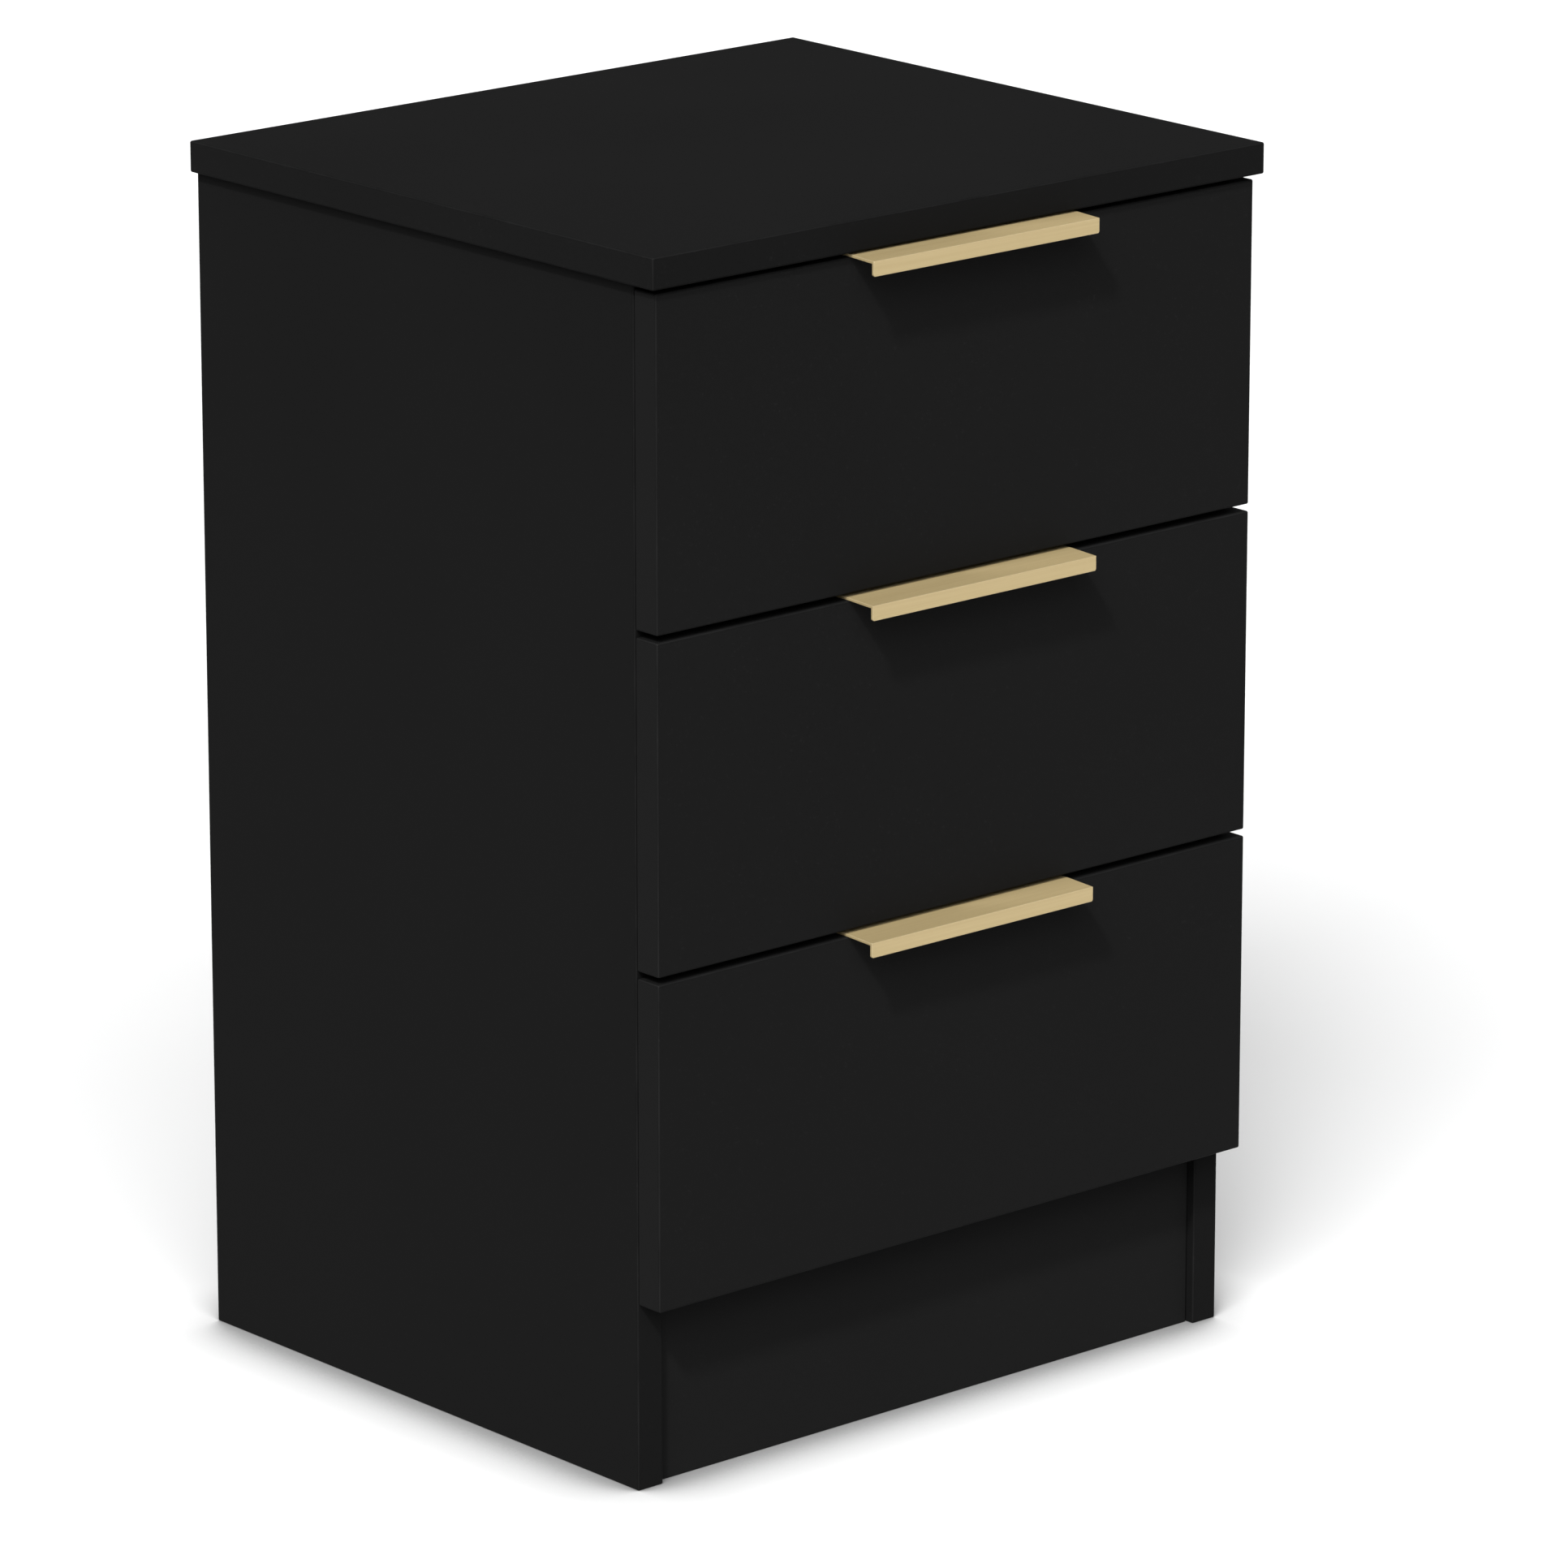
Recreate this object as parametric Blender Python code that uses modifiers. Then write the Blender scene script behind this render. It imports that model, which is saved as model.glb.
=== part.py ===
"""A three-drawer bedside cabinet in black board, with folded brass edge pulls on roller runners.

Metres, +Z up. The drawers face -Y and open towards it. The origin is on the floor, under the
middle of everything, edge pulls included.
"""
import math

import bmesh
import bpy
from mathutils import Vector

# The whole cabinet
WIDTH = 0.450            # across the top panel
DEPTH = 0.400            # front to back, along the top panel
HEIGHT = 0.700
BOARD = 0.018            # thickness of the carcass boards and the drawer fronts
SIDE_OVERHANG = 0.005    # the top panel past each side panel
FRONT_OVERHANG = 0.0035  # the top panel past the drawer fronts
EDGE = 0.0008            # chamfer on the long edges of the boards
CLEARANCE = 0.0003       # between pieces that touch

# Drawer fronts
FRONT_HEIGHT = 0.1875
FRONT_SPACING = 0.004    # between one front and the next
TOP_SPACING = 0.003      # between the top panel and the first front
FRONT_SEAT = 0.0005      # between a closed front and the carcass

# Base of the carcass
PLINTH_SETBACK = 0.005
PLINTH_HEIGHT = 0.1112
HARDBOARD = 0.003
BACK_INSET = 0.010       # the back panel, in from the rear edges
GROOVE_DEPTH = 0.006
TONGUE = 0.0055          # how far a hardboard panel reaches into its groove

# Drawer boxes
BOX_BOARD = 0.012
BOX_HEIGHT = 0.138
BOX_LENGTH = 0.345
BOX_RISE = 0.026         # underside of the box above the bottom edge of its front
BASE_RISE = 0.010        # hardboard base above the underside of the box
RUNNER_SPACE = 0.0125    # between a side panel and the drawer box

# Runners: folded steel, with nylon rollers on rivets
STEEL = 0.0012
RUNNER_LENGTH = 0.345
RUNNER_START = 0.002     # behind the front edge of the side panel
FLANGE = 0.0085
TOP_FLANGE = 0.006
ROLLER_RADIUS = 0.0085
ROLLER_WIDTH = 0.0055
ROLLER_BORE = 0.0023
ROLLER_RISE = 0.0090     # roller centres above the underside of the box
RIVET_RADIUS = 0.0020
RIVET_HEAD = 0.0034
RIVET_HEAD_THICK = 0.0008
ROLLER_PLAY = 0.0005     # between a roller and what it turns against
CHANNEL_ROOM = 0.0010    # the cabinet's channel, past the box's underside and past the rail
FRONT_ROLLER_INSET = 0.012
REAR_ROLLER_INSET = 0.011

# Edge pulls: folded brass sheet
PULL_LENGTH = 0.166
PULL_SHEET = 0.0015
PULL_REACH = 0.020       # out from the drawer front
PULL_LIP = 0.0085        # height of the turned-down lip
PULL_FALL = 0.0008       # drop of the flange from the front's face to the lip
PULL_TAB = 0.014         # height of the tab behind the front

# Screws through the tab
SCREW_SPACING = 0.128
SCREW_DROP = 0.008       # below the top edge of the front
SCREW_RADIUS = 0.00175
SCREW_HOLE = 0.0021
SCREW_LENGTH = 0.013
SCREW_HEAD = 0.0038
SCREW_HEAD_THICK = 0.0020
SCREW_HEAD_FLAT = 0.6    # flat middle of the head, as a share of its radius
SCREW_HEAD_WALL = 0.4    # straight edge of the head, as a share of its thickness
SCREW_POINT = 0.003
HOLE_LEAD = 0.001        # a hole's cutter, out past the tab

# How finely the round pieces and folds are made
ROLLER_FACETS = 24
SMALL_FACETS = 12        # rivets, screws and their holes
BEND_STEPS = 4           # facets in the fold of the lip
WELD = 0.00001           # points closer than this are one

# Places that follow from the sizes
REAR_Y = (DEPTH - FRONT_OVERHANG + PULL_REACH) / 2
TOP_FRONT_Y = REAR_Y - DEPTH
FACE_Y = TOP_FRONT_Y + FRONT_OVERHANG
FRONT_REAR_Y = FACE_Y + BOARD
CARCASS_Y = FRONT_REAR_Y + FRONT_SEAT
BACK_Y = REAR_Y - BACK_INSET - HARDBOARD
TOP_Z = HEIGHT - BOARD
BOTTOM_Z = PLINTH_HEIGHT + CLEARANCE
OUTER_X = WIDTH / 2 - SIDE_OVERHANG
INNER_X = OUTER_X - BOARD
BOX_X = INNER_X - RUNNER_SPACE
BOX_INNER_X = BOX_X - BOX_BOARD
BOX_REAR_Y = FRONT_REAR_Y + BOX_LENGTH
RUNNER_Y = CARCASS_Y + RUNNER_START
RAIL_Z = ROLLER_RISE + ROLLER_RADIUS + CLEARANCE  # the rail lies on the cabinet's roller
RAIL_TOP_Z = RAIL_Z + STEEL                       # both measured from the box's underside

DRAWERS = ("top", "middle", "bottom")
SIDES = {"left": -1, "right": 1}

for leftover in list(bpy.data.objects):
    bpy.data.objects.remove(leftover, do_unlink=True)

parts = bpy.data.collections.new("bedside_cabinet")
cutters = bpy.data.collections.new("cutters")
bpy.context.scene.collection.children.link(parts)
bpy.context.scene.collection.children.link(cutters)


def material(name, colour, roughness, metallic=0.0):
    """A Principled material of one colour."""
    made = bpy.data.materials.new(name)
    made.use_nodes = True
    shader = made.node_tree.nodes["Principled BSDF"]
    shader.inputs["Base Color"].default_value = (*colour, 1.0)
    shader.inputs["Roughness"].default_value = roughness
    shader.inputs["Metallic"].default_value = metallic
    made.diffuse_color = (*colour, 1.0)
    return made


BLACK_BOARD = material("black_board", (0.0135, 0.0135, 0.0135), 0.6)
BLACK_FRONT = material("black_front", (0.0135, 0.0135, 0.0135), 0.55)
BOX_BLACK = material("box_black", (0.020, 0.020, 0.021), 0.7)
BLACK_HARDBOARD = material("black_hardboard", (0.022, 0.021, 0.020), 0.75)
BRASS = material("brushed_brass", (0.62, 0.50, 0.29), 0.32, 1.0)
ZINC_STEEL = material("zinc_steel", (0.55, 0.56, 0.58), 0.4, 1.0)
NYLON = material("white_nylon", (0.78, 0.78, 0.75), 0.45)
SCREW_STEEL = material("screw_steel", (0.60, 0.60, 0.58), 0.35, 1.0)


def add_object(name, data, finish, at, parent=None, collection=parts):
    """Puts a mesh or curve into the scene at a world position, under an empty if one is given."""
    made = bpy.data.objects.new(name, data)
    collection.objects.link(made)
    if finish is not None:
        data.materials.append(finish)
    made.parent = parent
    made.location = Vector(at) - (parent.location if parent else Vector())
    return made


def box_mesh(name, size):
    """A cuboid centred on its own origin."""
    shape = bmesh.new()
    bmesh.ops.create_cube(shape, size=1.0)
    bmesh.ops.scale(shape, vec=size, verts=shape.verts)
    mesh = bpy.data.meshes.new(name)
    shape.to_mesh(mesh)
    shape.free()
    return mesh


def add_board(name, low, high, finish, parent=None, edge=0.0):
    """A board between two corners, with its edges chamfered if edge is given."""
    low = Vector(low)
    high = Vector(high)
    board = add_object(name, box_mesh(name, high - low), finish, (low + high) / 2, parent)
    if edge:
        bevel = board.modifiers.new("edges", "BEVEL")
        bevel.width = edge
        bevel.segments = 1
    return board


def hide_cutter(cutter):
    """Keeps a cutting shape out of the finished part."""
    cutter.hide_render = True
    cutter.display_type = "WIRE"
    return cutter


def add_box_cutter(name, low, high, parent=None):
    """A cuboid between two corners, for cutting grooves."""
    low = Vector(low)
    high = Vector(high)
    return hide_cutter(add_object(name, box_mesh(name, high - low), None, (low + high) / 2, parent, cutters))


def combine(target, tool, operation):
    """Cuts the tool out of the target, or joins it on."""
    step = target.modifiers.new(tool.name, "BOOLEAN")
    step.operation = operation
    step.solver = "EXACT"
    step.object = tool


def turned(name, profile, steps, finish, at, parent=None, collection=parts, closed=False):
    """A solid turned about its own Z from (radius, height) points, listed from top to bottom."""
    shape = bmesh.new()
    points = [shape.verts.new((radius, 0.0, height)) for radius, height in profile]
    for first, second in zip(points, points[1:]):
        shape.edges.new((first, second))
    if closed:
        shape.edges.new((points[-1], points[0]))
    mesh = bpy.data.meshes.new(name)
    shape.to_mesh(mesh)
    shape.free()
    made = add_object(name, mesh, finish, at, parent, collection)
    turn = made.modifiers.new("turn", "SCREW")
    turn.steps = steps
    turn.render_steps = steps
    turn.use_merge_vertices = True
    turn.merge_threshold = WELD
    turn.use_smooth_shade = False
    return made


def extruded(name, outline, length, rotation, finish, at, parent=None):
    """A bar of one section, made as a filled flat curve and turned into a closed mesh."""
    curve = bpy.data.curves.new(name, "CURVE")
    curve.dimensions = "2D"
    curve.fill_mode = "BOTH"
    curve.extrude = length / 2
    spline = curve.splines.new("POLY")
    spline.points.add(len(outline) - 1)
    for point, (across, up) in zip(spline.points, outline):
        point.co = (across, up, 0.0, 1.0)
    spline.use_cyclic_u = True
    guide = add_object(name + "_section", curve, None, (0, 0, 0))
    bpy.context.view_layer.update()
    evaluated = guide.evaluated_get(bpy.context.evaluated_depsgraph_get())
    mesh = bpy.data.meshes.new_from_object(evaluated)
    mesh.name = name
    bpy.data.objects.remove(guide, do_unlink=True)
    shape = bmesh.new()
    shape.from_mesh(mesh)
    bmesh.ops.remove_doubles(shape, verts=shape.verts, dist=WELD)
    bmesh.ops.recalc_face_normals(shape, faces=shape.faces)
    shape.to_mesh(mesh)
    shape.free()
    bar = add_object(name, mesh, finish, at, parent)
    bar.rotation_euler = rotation
    return bar


# The section's first axis runs along +X and its length along Y
ALONG_Y = (math.pi / 2, 0.0, 0.0)
# The section's first axis runs along +Y and its length along X
ALONG_X = (math.pi / 2, 0.0, math.pi / 2)


def carcass():
    """The fixed box: top, sides, bottom, two plinths and the hardboard back."""
    add_board(
        "top_panel",
        (-WIDTH / 2, TOP_FRONT_Y, TOP_Z),
        (WIDTH / 2, REAR_Y, HEIGHT),
        BLACK_BOARD,
        edge=EDGE,
    )
    back_low = BOTTOM_Z - BOARD
    for side, sign in SIDES.items():
        across = sorted((sign * INNER_X, sign * OUTER_X))
        panel = add_board(
            "side_panel_" + side,
            (across[0], CARCASS_Y, 0.0),
            (across[1], REAR_Y, TOP_Z - CLEARANCE),
            BLACK_BOARD,
            edge=EDGE,
        )
        mouth = sorted((sign * (INNER_X - GROOVE_DEPTH), sign * (INNER_X + GROOVE_DEPTH)))
        groove = add_box_cutter(
            "back_groove_" + side,
            (mouth[0], BACK_Y - CLEARANCE, back_low - CLEARANCE),
            (mouth[1], BACK_Y + HARDBOARD + CLEARANCE, HEIGHT),
        )
        combine(panel, groove, "DIFFERENCE")
    fit = INNER_X - CLEARANCE
    add_board(
        "bottom_panel",
        (-fit, CARCASS_Y, BOTTOM_Z),
        (fit, BACK_Y - CLEARANCE, BOTTOM_Z + BOARD),
        BLACK_BOARD,
        edge=EDGE,
    )
    front_plinth_y = CARCASS_Y + PLINTH_SETBACK
    rear_plinth_y = BACK_Y - CLEARANCE - BOARD
    for name, start in (("plinth_front", front_plinth_y), ("plinth_rear", rear_plinth_y)):
        add_board(name, (-fit, start, 0.0), (fit, start + BOARD, PLINTH_HEIGHT), BLACK_BOARD, edge=EDGE)
    add_board(
        "back_panel",
        (-INNER_X - TONGUE, BACK_Y, back_low),
        (INNER_X + TONGUE, BACK_Y + HARDBOARD, TOP_Z - CLEARANCE),
        BLACK_HARDBOARD,
    )


def rivet_on(member, name, inward, at, parent=None):
    """Joins a roller's rivet to a runner. inward is the X direction in which the rivet points."""
    head_start = ROLLER_PLAY + ROLLER_WIDTH + ROLLER_PLAY
    profile = (
        (0.0, head_start + RIVET_HEAD_THICK),
        (RIVET_HEAD, head_start + RIVET_HEAD_THICK),
        (RIVET_HEAD, head_start),
        (RIVET_RADIUS, head_start),
        (RIVET_RADIUS, -STEEL / 2),
        (0.0, -STEEL / 2),
    )
    rivet = turned(name, profile, SMALL_FACETS, None, at, parent, cutters)
    rivet.rotation_euler = (0.0, inward * math.pi / 2, 0.0)
    combine(member, hide_cutter(rivet), "UNION")


def roller(name, inward, web_x, y, z, parent=None):
    """A nylon roller beside a runner's web, with its origin in the middle of its axis."""
    half = ROLLER_WIDTH / 2
    profile = (
        (ROLLER_RADIUS, half),
        (ROLLER_RADIUS, -half),
        (ROLLER_BORE, -half),
        (ROLLER_BORE, half),
    )
    middle = web_x + inward * (ROLLER_PLAY + half)
    made = turned(name, profile, ROLLER_FACETS, NYLON, (middle, y, z), parent, closed=True)
    made.rotation_euler = (0.0, math.pi / 2, 0.0)


def cabinet_runner(drawer, side, sign, box_z):
    """The fixed half of a runner: a channel on the side panel, with a roller at its front end."""
    outer = INNER_X - CLEARANCE
    web = outer - STEEL
    low = -CHANNEL_ROOM
    roof = RAIL_TOP_Z + CHANNEL_ROOM
    outline = [
        (outer, low),
        (web - FLANGE, low),
        (web - FLANGE, low + STEEL),
        (web, low + STEEL),
        (web, roof),
        (web - TOP_FLANGE, roof),
        (web - TOP_FLANGE, roof + STEEL),
        (outer, roof + STEEL),
    ]
    outline = [(sign * across, up) for across, up in outline]
    middle_y = RUNNER_Y + RUNNER_LENGTH / 2
    member = extruded(
        f"{drawer}_cabinet_runner_{side}",
        outline,
        RUNNER_LENGTH,
        ALONG_Y,
        ZINC_STEEL,
        (0.0, middle_y, box_z),
    )
    roller_y = RUNNER_Y + FRONT_ROLLER_INSET
    roller_z = box_z + ROLLER_RISE
    rivet_on(member, f"{drawer}_cabinet_rivet_{side}", -sign, (sign * web, roller_y, roller_z))
    roller(f"{drawer}_cabinet_roller_{side}", -sign, sign * web, roller_y, roller_z)


def drawer_runner(drawer, side, sign, box_z, slide):
    """The moving half: a folded strip under and beside the box, with a roller at its rear end."""
    inside = BOX_X + CLEARANCE
    web = inside + STEEL
    under = -CLEARANCE - STEEL
    outline = [
        (BOX_INNER_X, under),
        (web, under),
        (web, RAIL_Z),
        (web + FLANGE - CLEARANCE, RAIL_Z),
        (web + FLANGE - CLEARANCE, RAIL_TOP_Z),
        (inside, RAIL_TOP_Z),
        (inside, -CLEARANCE),
        (BOX_INNER_X, -CLEARANCE),
    ]
    outline = [(sign * across, up) for across, up in outline]
    start = FRONT_REAR_Y + FRONT_SEAT
    middle_y = start + RUNNER_LENGTH / 2
    member = extruded(
        f"{drawer}_drawer_runner_{side}",
        outline,
        RUNNER_LENGTH,
        ALONG_Y,
        ZINC_STEEL,
        (0.0, middle_y, box_z),
        slide,
    )
    roller_y = start + RUNNER_LENGTH - REAR_ROLLER_INSET
    roller_z = box_z + ROLLER_RISE
    rivet_on(member, f"{drawer}_drawer_rivet_{side}", sign, (sign * web, roller_y, roller_z), slide)
    roller(f"{drawer}_drawer_roller_{side}", sign, sign * web, roller_y, roller_z, slide)


def pull_outline():
    """The edge pull's section: (y, z) from the front's top edge at its face, going round once."""
    under = CLEARANCE
    over = under + PULL_SHEET
    tab_front = BOARD + CLEARANCE
    tab_rear = tab_front + PULL_SHEET
    lip_out = -PULL_REACH
    lip_in = lip_out + PULL_SHEET
    bend = PULL_SHEET
    lip_top = over - PULL_FALL
    lip_foot = lip_top - PULL_LIP
    outline = [(tab_rear, -PULL_TAB), (tab_rear, over), (0.0, over)]
    for step in range(BEND_STEPS + 1):
        angle = math.pi / 2 + step * math.pi / 2 / BEND_STEPS
        outline.append((lip_out + bend + bend * math.cos(angle), lip_top - bend + bend * math.sin(angle)))
    outline += [(lip_out, lip_foot), (lip_in, lip_foot), (lip_in, under - PULL_FALL)]
    outline += [(0.0, under), (tab_front, under), (tab_front, -PULL_TAB)]
    return outline


def edge_pull(drawer, top_z, front, slide):
    """The folded pull over the front's top edge, and the two screws through its tab."""
    pull = extruded(
        drawer + "_handle", pull_outline(), PULL_LENGTH, ALONG_X, BRASS, (0.0, FACE_Y, top_z), slide
    )
    tab_rear_y = FRONT_REAR_Y + CLEARANCE + PULL_SHEET
    screw_z = top_z - SCREW_DROP
    head_y = tab_rear_y + CLEARANCE
    tip = -SCREW_LENGTH
    profile = (
        (0.0, SCREW_HEAD_THICK),
        (SCREW_HEAD * SCREW_HEAD_FLAT, SCREW_HEAD_THICK),
        (SCREW_HEAD, SCREW_HEAD_THICK * SCREW_HEAD_WALL),
        (SCREW_HEAD, 0.0),
        (SCREW_RADIUS, 0.0),
        (SCREW_RADIUS, tip + SCREW_POINT),
        (0.0, tip),
    )
    bore_foot = tip - CLEARANCE
    bore = ((0.0, HOLE_LEAD), (SCREW_HOLE, HOLE_LEAD), (SCREW_HOLE, bore_foot), (0.0, bore_foot))
    for side, sign in SIDES.items():
        at = (sign * SCREW_SPACING / 2, head_y, screw_z)
        hole = turned(f"{drawer}_screw_hole_{side}", bore, SMALL_FACETS, None, at, slide, cutters)
        hole.rotation_euler = (-math.pi / 2, 0.0, 0.0)
        hide_cutter(hole)
        combine(pull, hole, "DIFFERENCE")
        combine(front, hole, "DIFFERENCE")
        screw = turned(f"{drawer}_handle_screw_{side}", profile, SMALL_FACETS, SCREW_STEEL, at, slide)
        screw.rotation_euler = (-math.pi / 2, 0.0, 0.0)


def drawer_box(drawer, box_z, front, slide):
    """Two sides, a back and a hardboard base held in grooves in the sides and the front."""
    base_z = box_z + BASE_RISE
    start = FRONT_REAR_Y + CLEARANCE
    for side, sign in SIDES.items():
        across = sorted((sign * BOX_INNER_X, sign * BOX_X))
        wall = add_board(
            f"{drawer}_drawer_side_{side}",
            (across[0], start, box_z),
            (across[1], BOX_REAR_Y, box_z + BOX_HEIGHT),
            BOX_BLACK,
            slide,
        )
        mouth = sorted((sign * (BOX_INNER_X - GROOVE_DEPTH), sign * (BOX_INNER_X + GROOVE_DEPTH)))
        groove = add_box_cutter(
            f"{drawer}_side_groove_{side}",
            (mouth[0], start - GROOVE_DEPTH, base_z - CLEARANCE),
            (mouth[1], BOX_REAR_Y + GROOVE_DEPTH, base_z + HARDBOARD + CLEARANCE),
            slide,
        )
        combine(wall, groove, "DIFFERENCE")
    base_x = BOX_INNER_X + TONGUE
    groove = add_box_cutter(
        drawer + "_front_groove",
        (-BOX_X, FRONT_REAR_Y - GROOVE_DEPTH, base_z - CLEARANCE),
        (BOX_X, FRONT_REAR_Y + GROOVE_DEPTH, base_z + HARDBOARD + CLEARANCE),
        slide,
    )
    combine(front, groove, "DIFFERENCE")
    add_board(
        drawer + "_drawer_base",
        (-base_x, FRONT_REAR_Y - TONGUE, base_z),
        (base_x, BOX_REAR_Y, base_z + HARDBOARD),
        BLACK_HARDBOARD,
        slide,
    )
    back_x = BOX_INNER_X - CLEARANCE
    add_board(
        drawer + "_drawer_back",
        (-back_x, BOX_REAR_Y - BOX_BOARD, base_z + HARDBOARD + CLEARANCE),
        (back_x, BOX_REAR_Y, box_z + BOX_HEIGHT),
        BOX_BLACK,
        slide,
    )


def drawer_unit(drawer, front_z):
    """One drawer on its slide, with the two runners that carry it."""
    slide = bpy.data.objects.new(drawer + "_slide", None)
    parts.objects.link(slide)
    slide.location = (0.0, FACE_Y, front_z)
    front = add_board(
        drawer + "_drawer_front",
        (-OUTER_X, FACE_Y, front_z),
        (OUTER_X, FRONT_REAR_Y, front_z + FRONT_HEIGHT),
        BLACK_FRONT,
        slide,
        EDGE,
    )
    box_z = front_z + BOX_RISE
    drawer_box(drawer, box_z, front, slide)
    edge_pull(drawer, front_z + FRONT_HEIGHT, front, slide)
    for side, sign in SIDES.items():
        cabinet_runner(drawer, side, sign, box_z)
        drawer_runner(drawer, side, sign, box_z, slide)


carcass()
for number, drawer_name in enumerate(DRAWERS, start=1):
    front_bottom = TOP_Z - TOP_SPACING - number * FRONT_HEIGHT - (number - 1) * FRONT_SPACING
    drawer_unit(drawer_name, front_bottom)
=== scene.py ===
"""Looks for a three-drawer bedside cabinet in matt black board with brushed brass edge pulls.

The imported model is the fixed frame. Each section below is one kind of piece, in the order in which
the cabinet is put together: the carcass first, then the runners, the drawers and their pulls.
"""
import math

import bmesh
import bpy
from mathutils import Matrix, Vector


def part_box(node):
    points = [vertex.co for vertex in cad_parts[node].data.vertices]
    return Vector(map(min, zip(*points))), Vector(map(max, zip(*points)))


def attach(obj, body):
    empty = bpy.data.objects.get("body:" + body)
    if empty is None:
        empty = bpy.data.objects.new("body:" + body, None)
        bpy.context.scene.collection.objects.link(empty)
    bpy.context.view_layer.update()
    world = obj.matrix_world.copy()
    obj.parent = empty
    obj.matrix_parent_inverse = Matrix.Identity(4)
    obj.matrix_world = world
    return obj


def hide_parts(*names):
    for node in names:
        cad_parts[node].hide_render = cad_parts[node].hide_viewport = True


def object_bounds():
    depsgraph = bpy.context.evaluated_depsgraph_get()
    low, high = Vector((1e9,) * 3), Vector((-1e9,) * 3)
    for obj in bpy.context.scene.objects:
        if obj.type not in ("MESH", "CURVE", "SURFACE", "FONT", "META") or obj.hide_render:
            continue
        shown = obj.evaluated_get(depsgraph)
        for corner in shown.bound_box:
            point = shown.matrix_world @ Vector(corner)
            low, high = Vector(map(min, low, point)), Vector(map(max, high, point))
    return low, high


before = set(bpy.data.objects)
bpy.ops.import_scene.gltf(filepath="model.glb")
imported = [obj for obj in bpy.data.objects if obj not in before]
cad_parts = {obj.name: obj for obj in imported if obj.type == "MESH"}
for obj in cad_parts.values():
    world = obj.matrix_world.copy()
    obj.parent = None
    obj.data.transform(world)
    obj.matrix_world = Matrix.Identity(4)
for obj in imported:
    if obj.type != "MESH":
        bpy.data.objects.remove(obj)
cad_low, cad_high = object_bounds()

# The studio: a white room, and a long lens far from the cabinet. A small key lamp at the upper left
# draws the shadows under the pulls and fronts. A left and a front softbox light the whole, and a
# low lamp behind the cabinet lets its back and right side read.
centre = (cad_low + cad_high) / 2
scene = bpy.context.scene
scene.view_settings.view_transform = "Standard"


def towards(azimuth, elevation):
    """The direction out from the cabinet. Azimuth 0 is straight in front, and 90 to its right."""
    around = math.radians(azimuth)
    up = math.radians(elevation)
    return Vector((math.sin(around) * math.cos(up), -math.cos(around) * math.cos(up), math.sin(up)))


def aim(thing, direction):
    """Turns a lamp or camera so that it looks back along a direction."""
    thing.rotation_mode = "QUATERNION"
    thing.rotation_quaternion = direction.to_track_quat("Z", "Y")


CAMERA_AZIMUTH = -41.23
CAMERA_ELEVATION = 15.97
CAMERA_DISTANCE = 5.16
CAMERA_LENS = 208.0
AIM_OFFSET = Vector((0.0160, -0.0220, -0.0206))
camera_data = bpy.data.cameras.new("camera")
camera_data.lens = CAMERA_LENS
camera = bpy.data.objects.new("camera", camera_data)
scene.collection.objects.link(camera)
camera_line = towards(CAMERA_AZIMUTH, CAMERA_ELEVATION)
camera.location = centre + AIM_OFFSET + camera_line * CAMERA_DISTANCE
aim(camera, camera_line)
scene.camera = camera


def add_lamp(name, azimuth, elevation, spread, strength):
    """A lamp far enough off to fall evenly on the whole floor. A wider spread makes it softer."""
    light = bpy.data.lights.new(name, "SUN")
    light.angle = math.radians(spread)
    light.energy = strength
    lamp = bpy.data.objects.new(name, light)
    scene.collection.objects.link(lamp)
    line = towards(azimuth, elevation)
    lamp.location = centre + line
    aim(lamp, line)
    return lamp


key_lamp = add_lamp("key_lamp", azimuth=-59.0, elevation=49.0, spread=4.5, strength=4.0)
add_lamp("left_softbox", azimuth=-58.0, elevation=40.0, spread=34.0, strength=2.75)
add_lamp("front_softbox", azimuth=-26.0, elevation=36.0, spread=46.0, strength=2.15)
rear_fill = add_lamp("rear_fill", azimuth=130.0, elevation=12.0, spread=60.0, strength=3.0)
rear_fill.visible_glossy = False


def put(tree, kind, inputs=None, **settings):
    """Adds a node to a tree. Its inputs are plain values or the sockets that feed them."""
    node = tree.nodes.new(kind)
    for setting, value in settings.items():
        setattr(node, setting, value)
    for socket, value in (inputs or {}).items():
        if isinstance(value, bpy.types.NodeSocket):
            tree.links.new(value, node.inputs[socket])
        else:
            node.inputs[socket].default_value = value
    return node


def blend_colours(tree, share, first, second):
    """The first colour at a share of 0, passing into the second at 1."""
    mix = put(tree, "ShaderNodeMix", {0: share, 6: first, 7: second}, data_type="RGBA")
    return mix.outputs[2]


SEEN_WHITE = (1.0, 1.0, 1.0, 1.0)
DIM_WALLS = (0.07, 0.07, 0.07, 1.0)
LIT_CEILING = (0.40, 0.40, 0.40, 1.0)
WALL_TOP = 0.15          # where the walls begin to brighten, as a share of the way up
CEILING_START = 0.75
world = bpy.data.worlds.new("studio")
world.use_nodes = True
scene.world = world
air = world.node_tree
air.nodes.clear()
way_up = put(air, "ShaderNodeSeparateXYZ", {0: put(air, "ShaderNodeTexCoord").outputs["Generated"]})
height = put(
    air,
    "ShaderNodeMapRange",
    {"Value": way_up.outputs[2], "From Min": WALL_TOP, "From Max": CEILING_START},
)
lit = blend_colours(air, height.outputs[0], DIM_WALLS, LIT_CEILING)
seen = put(air, "ShaderNodeLightPath").outputs["Is Camera Ray"]
sky = put(air, "ShaderNodeBackground", {"Color": blend_colours(air, seen, lit, SEEN_WHITE)})
put(air, "ShaderNodeOutputWorld", {"Surface": sky.outputs[0]})

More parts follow.
